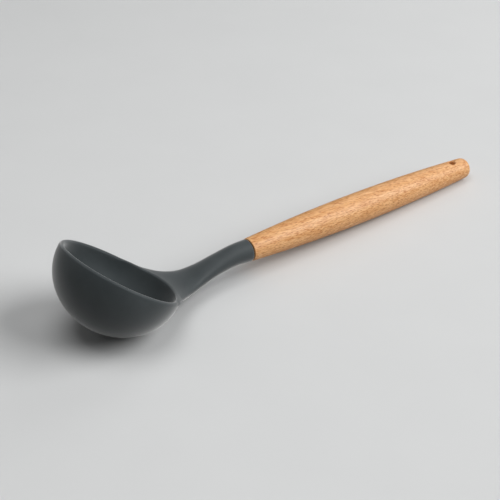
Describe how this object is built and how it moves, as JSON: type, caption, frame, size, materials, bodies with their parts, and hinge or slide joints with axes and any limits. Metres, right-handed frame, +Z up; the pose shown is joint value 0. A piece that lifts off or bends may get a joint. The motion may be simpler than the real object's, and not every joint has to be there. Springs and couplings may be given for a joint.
{
  "type": "soup ladle",
  "caption": "Soup ladle with a deep round silicone bowl moulded over a stiff core, a webbed neck and a turned beech handle with a hanging hole.",
  "frame": {"origin": "on the table, in the middle of the ladle's length and width, with the ladle lying on the bottom of its bowl and the belly of its handle", "axes": "+X from the bowl to the butt of the handle, +Z up, Y = 0 is the plane of symmetry"},
  "size_m": [0.3382, 0.08, 0.063],
  "materials": {
    "silicone": "matte moulded silicone",
    "nylon": "moulded nylon",
    "beech": "turned, sanded and oiled beech",
    "adhesive": "cured epoxy"
  },
  "bodies": {
    "root": {"silicone_head": "silicone", "nylon_core": "nylon", "beech_handle": "beech", "tang_adhesive": "adhesive"}
  },
  "joints": []
}
